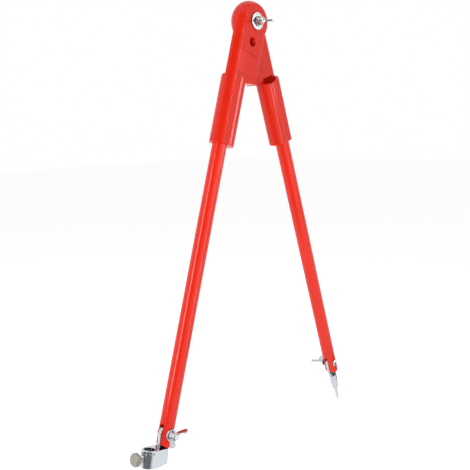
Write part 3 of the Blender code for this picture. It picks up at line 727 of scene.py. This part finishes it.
class COMPASS_OT_fasteners(bpy.types.Operator):
    """Make the bolts, washers and wing nuts"""

    bl_idname = "compass.fasteners"
    bl_label = "Bolts, washers and wing nuts"

    def execute(self, context):
        """Build the fasteners of the pivot and of both feet."""
        sizes = sizes_of("fasteners")
        look = material("zinc plated steel", zinc_plate, sizes_of("stage").zinc)
        head_half = sizes_of("arm").head_half
        spot = sizes_of("leg").spot_half
        pivot = Matrix.Translation(PIVOT) @ UPRIGHT
        pivot_head = (sizes.pivot_head_radius, sizes.pivot_head_height)
        foot_head = (sizes.foot_head_radius, sizes.foot_head_height)
        for label, matrix, half, washer, head, turn, bodies in (
                ("pivot", pivot, head_half, sizes.pivot_washer, pivot_head, 0.0,
                 ("spike_side", "pencil_side", "pivot_nut")),
                ("pencil", foot_frame("left") @ ACROSS, spot, sizes.foot_washer, foot_head,
                 sizes.pencil_nut_turn, ("pencil_side", "pencil_side", "pencil_nut")),
                ("spike", foot_frame("right") @ ACROSS, spot, sizes.foot_washer, foot_head,
                 sizes_of("leg").lean, ("spike_side", "spike_side", "spike_nut"))):
            self.group(sizes, look, label, matrix, half, washer, head, turn, bodies)
            if label == "pivot":
                back = self.washer("pivot_back_washer_ring", washer, -half - sizes.seat - sizes.washer_thickness)
                dress(back, matrix, "pivot_back_washer", bodies[0], look)
        return {"FINISHED"}

    def group(self, sizes, look, label, matrix, half, washer_radius, head, turn, bodies):
        """One bolt with its washer and its wing nut."""
        washer_low = half + sizes.seat
        nut_low = washer_low + sizes.washer_thickness + sizes.seat
        head_seat = nut_low if label == "pivot" else half + sizes.seat
        node = "pivot_front_washer" if label == "pivot" else label + "_washer"
        nut_place = matrix @ Matrix.Translation((0, 0, nut_low)) @ Matrix.Rotation(turn, 4, "Z")
        bolt = self.bolt(label + "_bolt_steel", head_seat, nut_low + sizes.nut_height + sizes.proud, *head)
        ring = self.washer(node + "_ring", washer_radius, washer_low)
        nut = self.wing_nut(label + "_wing_nut_forging")
        for made, place, name, body in (
                (bolt, matrix, label + "_bolt", bodies[0]), (ring, matrix, node, bodies[1]),
                (nut, nut_place, label + "_wing_nut", bodies[2])):
            dress(made, place, name, body, look)

    def bolt(self, name, head_seat, top, head_radius, head_height):
        """A bolt with a domed head and a thread near its end."""
        sizes = sizes_of("fasteners")
        depth = sizes.thread_depth
        # The thread is a third longer than the nut is high
        thread_low = top - 4 * sizes.nut_height / 3
        fine = sizes.pitch / THREAD_STEPS
        # The chamfer below the head's dome
        lip_width, lip = 0.3 * MM, 0.25 * MM

        def radius_at(height, turn):
            if height < thread_low or height > top - fine:
                return sizes.bolt_radius - depth * (height > top - fine)
            phase = (height / sizes.pitch - turn / (2 * math.pi)) % 1
            return sizes.bolt_radius - depth * abs(2 * phase - 1)

        heights = [-head_seat + MERGE] + spread(thread_low, top, int((top - thread_low) / fine))
        shank = formed(name, heights, 40, radius_at)
        dome = [(0, -head_seat), (head_radius - lip_width, -head_seat)]
        dome += [(head_radius * math.cos(turn), -head_seat - lip - (head_height - lip) * math.sin(turn))
                 for turn in spread(0.02, math.pi / 2, 12)]
        combine(shank, turned("head", dome, 64), "UNION")
        return smoothed(shank)

    def washer(self, name, radius, low):
        """A stamped washer with a rolled edge on one side and a sharp one on the other."""
        sizes = sizes_of("fasteners")
        high = low + sizes.washer_thickness
        roll = sizes.washer_thickness * 0.3
        rim = arc(radius - roll, high - roll, roll, math.pi / 2, 0, 5)
        inside = arc(sizes.hole_radius + roll / 2, high - roll / 2, roll / 2, math.pi, math.pi / 2, 4)
        loop = inside + rim + [(radius, low), (sizes.hole_radius, low)]
        return smoothed(turned(name, loop + loop[:1], 96))

    def wing_nut(self, name):
        """A forged wing nut with soft edges and a fillet between the hub and the wings."""
        sizes = sizes_of("fasteners")
        chamfer = 0.4 * MM
        root = 0.8 * MM
        hub = [(0, sizes.nut_height), (sizes.nut_top - chamfer, sizes.nut_height),
               (sizes.nut_top, sizes.nut_height - chamfer), (sizes.nut_base, chamfer / 2),
               (sizes.nut_base, 0), (0, 0)]
        made = turned(name, hub, 64)
        tip_x = sizes.wing_span / 2 - sizes.wing_tip
        tip_y = sizes.wing_height - sizes.wing_tip
        right = [(sizes.nut_top, root)]
        right += arc(tip_x, tip_y, sizes.wing_tip, -math.pi / 4, math.pi * 5 / 6, 24)
        right += [(sizes.bolt_radius, sizes.nut_height - root)]
        left = [(-x, y) for x, y in reversed(right)]
        wings = outlined("wings", right + left, -sizes.wing_thickness / 2, sizes.wing_thickness / 2)
        combine(made, placed(wings, UPRIGHT), "UNION")
        forge = made.modifiers.new("forge", "REMESH")
        forge.mode = "VOXEL"
        forge.voxel_size = 0.28 * MM
        bake(made)
        ease = made.modifiers.new("ease", "SMOOTH")
        ease.factor = 0.5
        ease.iterations = 6
        bake(made)
        drill(made, sizes.hole_radius, -OVERRUN, sizes.wing_height)
        return smoothed(made, 50)


class COMPASS_OT_pencil_holder(bpy.types.Operator):
    """Make the pencil holder with its clamp"""

    bl_idname = "compass.pencil_holder"
    bl_label = "Pencil holder"

    def execute(self, context):
        """Build the cast holder, the clamp screw and the knurled knob."""
        sizes = sizes_of("holder")
        stage = sizes_of("stage")
        matrix = foot_frame("left") @ Matrix.Rotation(sizes.tilt, 4, "Y")
        along = matrix @ Matrix.Translation((0, 0, -sizes.screw_drop)) @ ALONG
        holder = self.holder("pencil_holder_casting", sizes)
        soften(holder, sizes.edge)
        dress(holder, matrix, "pencil_holder", "holder",
              material("chromed casting", chrome_plate, stage.chrome))
        dress(self.screw("clamp_screw_thread", sizes), along, "clamp_screw", "clamp",
              material("zinc plated steel", zinc_plate, stage.zinc))
        dress(self.knob("clamp_knob_knurled", sizes), along, "clamp_knob", "clamp",
              material("dull nickel", dull_nickel, stage.nickel))
        return {"FINISHED"}

    def holder(self, name, sizes):
        """The cast block, ring and tongue in their own frame."""
        low = -sizes.top - sizes.height
        inner = arc(sizes.inner + sizes.corner, sizes.ring_radius - sizes.corner, sizes.corner,
                    math.pi / 2, math.pi, 6)
        half = arc(sizes.pencil_offset, 0, sizes.ring_radius, 0, math.pi / 2, 32) + inner
        mirrored = [(x, -y) for x, y in reversed(half)]
        made = outlined(name, half + mirrored[:-1], low, -sizes.top)
        start = sizes.pencil_offset - sizes.ring_radius
        wide = sizes.ring_radius + OVERRUN
        under = [(sizes.inner - OVERRUN, low - OVERRUN), (start, low - OVERRUN), (start, low),
                 (sizes.inner, low + sizes.slope), (sizes.inner - OVERRUN, low + sizes.slope)]
        combine(made, placed(outlined("under", under, -wide, wide), UPRIGHT), "DIFFERENCE")
        tongue = arc(0, 0, sizes.tongue_radius, 0, math.pi, 40)
        tongue += [(sizes.inner, -sizes.top), (sizes.inner + sizes.corner, -sizes.top - sizes.corner),
                   (sizes.tongue_radius, -sizes.top - sizes.corner)]
        blade = outlined("blade", tongue, -sizes.tongue_half, sizes.tongue_half)
        combine(made, placed(blade, UPRIGHT), "UNION")
        fasteners = sizes_of("fasteners")
        drill(made, fasteners.hole_radius, -wide, wide, matrix=ACROSS)
        drill(made, sizes.pencil_radius, low - OVERRUN, -sizes.top + OVERRUN,
              matrix=Matrix.Translation((sizes.pencil_offset, 0, 0)))
        drill(made, sizes.screw_radius + fasteners.seat, sizes.pencil_offset, sizes.pencil_offset + wide,
              matrix=Matrix.Translation((0, 0, -sizes.screw_drop)) @ ALONG)

        # A groove round the outside of the ring, just below its rim
        groove_high = -sizes.top - sizes.groove_drop
        deep = sizes.ring_radius - sizes.groove_depth
        ring = [(wide, groove_high), (deep, groove_high), (deep, groove_high - sizes.groove_width),
                (wide, groove_high - sizes.groove_width), (wide, groove_high)]
        groove = turned("groove", ring, 96)
        placed(groove, Matrix.Translation((sizes.pencil_offset, 0, 0)))
        near, far = sizes.pencil_offset, 3 * wide + sizes.pencil_offset
        outer_half = [(near, -2 * wide), (far, -2 * wide), (far, 2 * wide), (near, 2 * wide)]
        combine(groove, outlined("keep", outer_half, low, -sizes.top), "INTERSECT")
        combine(made, groove, "DIFFERENCE")
        return made

    def screw(self, name, sizes):
        """The clamp screw with its thread."""
        seat = sizes_of("fasteners").seat
        start = sizes.pencil_offset + sizes.pencil_radius + seat
        end = sizes.knob_start + sizes.knob_grip - seat
        fine = sizes.screw_pitch / THREAD_STEPS

        def radius_at(height, turn):
            if height < start + fine:
                return sizes.screw_radius - sizes.screw_depth
            phase = (height / sizes.screw_pitch - turn / (2 * math.pi)) % 1
            return sizes.screw_radius - sizes.screw_depth * abs(2 * phase - 1)

        return smoothed(formed(name, spread(start, end, int((end - start) / fine)), 40, radius_at))

    def knob(self, name, sizes):
        """The knob: a diamond knurl between two smooth rims, and a faced end."""
        start = sizes.knob_start
        end = start + sizes.knob_length
        rim = sizes.knob_rim
        chamfer = sizes.knob_chamfer
        fade_in = 0.3 * MM
        core = sizes.knob_radius - 2 * sizes.knurl_depth
        ridge = 2 * math.pi * sizes.knob_radius / sizes.knurl_count

        def radius_at(height, turn):
            from_end = min(height - start, end - height)
            if from_end < rim:
                return core - max(0.0, chamfer - from_end)
            around = turn * sizes.knob_radius / ridge
            first = abs(2 * ((around + (height - start) / ridge) % 1) - 1)
            second = abs(2 * ((around - (height - start) / ridge) % 1) - 1)
            fade = min((from_end - rim) / fade_in, 1.0)
            height_share = (1 - max(first, second)) * fade
            return core + (sizes.knob_radius - core) * (0.35 * fade + 0.65 * height_share)

        heights = spread(start, start + chamfer, 2) + spread(start + rim, end - rim, 40)
        heights += spread(end - chamfer, end, 2)
        made = formed(name, heights, sizes.knurl_count * 8, radius_at)
        drill(made, sizes.screw_radius + sizes_of("fasteners").seat, start - OVERRUN,
              start + sizes.knob_grip, 48)
        return smoothed(made, 38)


class COMPASS_OT_spike(bpy.types.Operator):
    """Make the spike and its holder"""

    bl_idname = "compass.spike"
    bl_label = "Spike"

    def execute(self, context):
        """Build the holder and the pointed pin."""
        sizes = sizes_of("spike")
        stage = sizes_of("stage")
        holder = self.holder("spike_holder_casting", sizes)
        soften(holder, sizes.edge)
        dress(holder, foot_frame("right"), "spike_holder", "spike",
              material("chromed casting", chrome_plate, stage.chrome))
        dress(self.point("spike_point_pin", sizes), foot_frame("right"), "spike_point", "spike",
              material("zinc plated steel", zinc_plate, stage.zinc))
        return {"FINISHED"}

    def holder(self, name, sizes):
        """The round body and its tongue in their own frame."""
        end = sizes.body_drop + sizes.body_length
        neck = sizes.top_radius - sizes.chamfer
        profile = [(0, -sizes.body_drop), (neck, -sizes.body_drop),
                   (sizes.top_radius, -sizes.body_drop - sizes.chamfer),
                   (sizes.end_radius, sizes.chamfer - end), (sizes.end_radius - sizes.chamfer, -end),
                   (0, -end)]
        made = turned(name, profile, 96)
        reach = sizes_of("leg").fork_reach
        tongue = arc(0, 0, sizes.tongue_radius, 0, math.pi, 40)
        tongue += [(-sizes.tongue_radius, -reach), (-neck, -sizes.body_drop - sizes.chamfer),
                   (neck, -sizes.body_drop - sizes.chamfer), (sizes.tongue_radius, -reach)]
        blade = outlined("blade", tongue, -sizes.tongue_half, sizes.tongue_half)
        combine(made, placed(blade, UPRIGHT), "UNION")
        fasteners = sizes_of("fasteners")
        wide = sizes.tongue_half + OVERRUN
        drill(made, fasteners.hole_radius, -wide, wide, 48, ACROSS)
        drill(made, sizes.radius + fasteners.seat, -end - OVERRUN, sizes.socket - end, 48)
        return made

    def point(self, name, sizes):
        """The ground steel pin."""
        end = sizes.body_drop + sizes.body_length
        top = sizes.socket - sizes_of("fasteners").seat - end
        profile = [(0, top), (sizes.radius, top)]
        # Shares of the reach and of the radius, down the ground taper
        for reach_share, radius_share in ((0.28, 1.0), (0.45, 0.92), (0.58, 0.82), (0.7, 0.68), (0.82, 0.5)):
            profile.append((sizes.radius * radius_share, -end - sizes.reach * reach_share))
        profile += [(sizes.tip, -end - sizes.reach), (0, -end - sizes.reach)]
        return smoothed(turned(name, profile, 48))


# Stage

class COMPASS_OT_stage(bpy.types.Operator):
    """Make the camera, the floor and the light"""

    bl_idname = "compass.stage"
    bl_label = "Camera, floor and light"

    def execute(self, context):
        """Set up the studio round the compass."""
        stage = sizes_of("stage")
        context.scene.view_settings.view_transform = "Standard"
        self.camera(context.scene, stage)
        self.floor(stage)
        self.world(context.scene)
        # Each lamp: degrees from -Y towards -X, height above the middle, distance, size and power
        middle = Vector((CAD_BOX[0][i] + CAD_BOX[1][i] for i in range(3))) / 2
        for name, bearing, rise, away, width, height, power in (
                ("left_strip", 88, 0.11, 0.5, 0.09, 0.42, 1.0),
                ("left_fill", 80, 0.1, 1.1, 0.8, 0.8, 4.7),
                ("front_strip", -8, 0.1, 1.1, 0.12, 1.3, 3.4),
                ("edge_strip", -100, 0.1, 1.1, 0.12, 1.3, 2.0),
                ("top_soft", 60, 1.2, 0.6, 0.8, 0.8, 1.4)):
            made = self.lamp("studio_" + name, middle, math.radians(bearing), rise, away, width, height,
                             power)
            # The near strip is there for its reflection only, and the fill for its light only
            made.visible_diffuse = name != "left_strip"
            made.visible_glossy = name != "left_fill"
        return {"FINISHED"}

    def camera(self, scene, stage):
        """The camera, at the photographed view."""
        data = bpy.data.cameras.new("studio_camera")
        data.lens = stage.lens / MM
        data.sensor_width = 36
        data.clip_start = 0.01
        made = bpy.data.objects.new(data.name, data)
        scene.collection.objects.link(made)
        look = Vector((-math.sin(stage.azimuth) * math.cos(stage.pitch),
                       math.cos(stage.azimuth) * math.cos(stage.pitch), -math.sin(stage.pitch)))
        flat_right = Vector((math.cos(stage.azimuth), math.sin(stage.azimuth), 0))
        upward = flat_right.cross(look)
        right = math.cos(stage.roll) * flat_right + math.sin(stage.roll) * upward
        up = math.cos(stage.roll) * upward - math.sin(stage.roll) * flat_right
        turn = Matrix((right, up, -look)).transposed().to_4x4()
        made.matrix_world = Matrix.Translation(PIVOT + Vector(stage.camera_offset)) @ turn
        scene.camera = made

    def floor(self, stage):
        """A plain pale floor that keeps a faint shadow."""
        wide = 6
        made = outlined("studio_floor", [(-wide, -wide), (wide, -wide), (wide, wide), (-wide, wide)],
                        -20 * MM, -1 * MM)
        look = bpy.data.materials.new("painted backdrop board, white")
        look.use_nodes = True
        tree = look.node_tree
        shader = tree.nodes["Principled BSDF"]
        shader.inputs["Roughness"].default_value = 0.9
        shader.inputs["Specular IOR Level"].default_value = 0.1
        path = add_node(tree, "ShaderNodeLightPath")
        mirrored = maths(tree, "MAXIMUM", path.outputs["Is Glossy Ray"], path.outputs["Is Transmission Ray"])
        # Two round patches of painted dark reflection, which only reflections show: one on the camera's side,
        # one beside the spike
        place = add_node(tree, "ShaderNodeTexCoord").outputs["Object"]
        painted_dark_patches = []
        for middle, inner, outer in (((-0.56, -0.26, 0), 0.36, 0.46), ((0.28, -0.10, 0), 0.06, 0.09)):
            away = vectors(tree, "DISTANCE", place, middle)["Value"]
            painted_dark_patches.append(ramp(tree, away, inner, outer, 0.85, 0.0))
        dark = maths(tree, "MULTIPLY", maths(tree, "MAXIMUM", *painted_dark_patches), mirrored)
        for pale, entry in ((stage.floor_white, "Base Color"), ((1, 1, 1), "Emission Color")):
            tree.links.new(tint(tree, dark, pale, (0, 0, 0)), shader.inputs[entry])
        # The board glows for the camera and for reflections, and less for the light that it sheds
        glow = maths(tree, "MULTIPLY_ADD", path.outputs["Is Diffuse Ray"], -0.35, 0.55)
        tree.links.new(glow, shader.inputs["Emission Strength"])
        made.data.materials.append(look)

    def world(self, scene):
        """A white room, dimmer for the light that it sheds than for what looks at it."""
        world = bpy.data.worlds.new("studio room")
        world.use_nodes = True
        scene.world = world
        tree = world.node_tree
        background = tree.nodes["Background"]
        path = add_node(tree, "ShaderNodeLightPath")
        background.inputs["Color"].default_value = (1, 1, 1, 1)
        # The room is white for the camera, for reflections and through glass, but for two upright black
        # cards: a wide one round the camera and a narrow one to its right
        way = add_node(tree, "ShaderNodeTexCoord").outputs["Generated"]
        level = vectors(tree, "NORMALIZE", vectors(tree, "MULTIPLY", way, (1, 1, 0))["Vector"])["Vector"]
        cards = []
        for bearing, reach, soft in ((65, 40, 10), (-27, 15, 4)):
            cards.append(self.beside(tree, level, bearing, reach, reach - soft, 1.0, 0.06))
        # A bright low panel gives the white line down the left socket's inner side
        panel = self.beside(tree, level, -36, 6, 4, 0.0, 13.0)
        height = add_node(tree, "ShaderNodeSeparateXYZ", None, {0: way}).outputs["Z"]
        band = maths(tree, "MULTIPLY", ramp(tree, height, -0.02, 0.0),
                     ramp(tree, height, 0.16, 0.20, 1.0, 0.0))
        room = maths(tree, "MULTIPLY_ADD", panel, band, maths(tree, "MINIMUM", *cards))
        clear = maths(tree, "MAXIMUM", path.outputs["Is Glossy Ray"], path.outputs["Is Transmission Ray"])
        strength = 0.45
        for ray, looked_at in ((clear, room), (path.outputs["Is Camera Ray"], 1.0)):
            strength = add_node(tree, "ShaderNodeMix", {"data_type": "FLOAT"},
                                {0: ray, 2: strength, 3: looked_at}).outputs[0]
        tree.links.new(strength, background.inputs["Strength"])

    def beside(self, tree, level, bearing, outer, inner, far_value, near_value):
        """One value far from a bearing and another near it, from angles in degrees."""
        middle = (-math.sin(math.radians(bearing)), -math.cos(math.radians(bearing)), 0)
        towards = vectors(tree, "DOT_PRODUCT", level, middle)["Value"]
        return ramp(tree, towards, math.cos(math.radians(outer)), math.cos(math.radians(inner)),
                    far_value, near_value)

    def lamp(self, name, middle, bearing, rise, away, width, height, power):
        """One softbox that faces the middle of the compass."""
        data = bpy.data.lights.new(name, "AREA")
        data.shape = "RECTANGLE"
        data.size = width
        data.size_y = height
        data.energy = power
        made = bpy.data.objects.new(name, data)
        bpy.context.scene.collection.objects.link(made)
        offset = Vector((-math.sin(bearing) * away, -math.cos(bearing) * away, rise))
        made.location = middle + offset
        made.rotation_euler = (-offset).to_track_quat("-Z", "Y").to_euler()
        return made


class COMPASS_PT_panel(bpy.types.Panel):
    """Lists the compass's pieces"""

    bl_idname = "COMPASS_PT_panel"
    bl_label = "Compass"
    bl_space_type = "VIEW_3D"
    bl_region_type = "UI"
    bl_category = "Compass"

    def draw(self, context):
        """Show one button for each operator."""
        for kind in OPERATORS:
            self.layout.operator(kind.bl_idname)


GROUPS = (
    ("compass_arm", CompassArmSettings),
    ("compass_leg", CompassLegSettings),
    ("compass_fasteners", CompassFastenerSettings),
    ("compass_holder", CompassHolderSettings),
    ("compass_spike", CompassSpikeSettings),
    ("compass_stage", CompassStageSettings),
)
OPERATORS = (
    COMPASS_OT_stage,
    COMPASS_OT_arms,
    COMPASS_OT_legs,
    COMPASS_OT_fasteners,
    COMPASS_OT_pencil_holder,
    COMPASS_OT_spike,
)


def register():
    """Register the settings, the operators and the panel."""
    for name, kind in GROUPS:
        bpy.utils.register_class(kind)
        setattr(bpy.types.Scene, name, PointerProperty(type=kind))
    for kind in OPERATORS + (COMPASS_PT_panel,):
        bpy.utils.register_class(kind)


def unregister():
    """Take back all that register added."""
    for kind in reversed(OPERATORS + (COMPASS_PT_panel,)):
        bpy.utils.unregister_class(kind)
    for name, kind in reversed(GROUPS):
        delattr(bpy.types.Scene, name)
        bpy.utils.unregister_class(kind)


def main():
    """Build everything, in order."""
    register()
    bpy.ops.compass.stage()
    bpy.ops.compass.arms()
    bpy.ops.compass.legs()
    bpy.ops.compass.fasteners()
    bpy.ops.compass.pencil_holder()
    bpy.ops.compass.spike()
    bpy.context.view_layer.update()


if __name__ == "__main__":
    main()
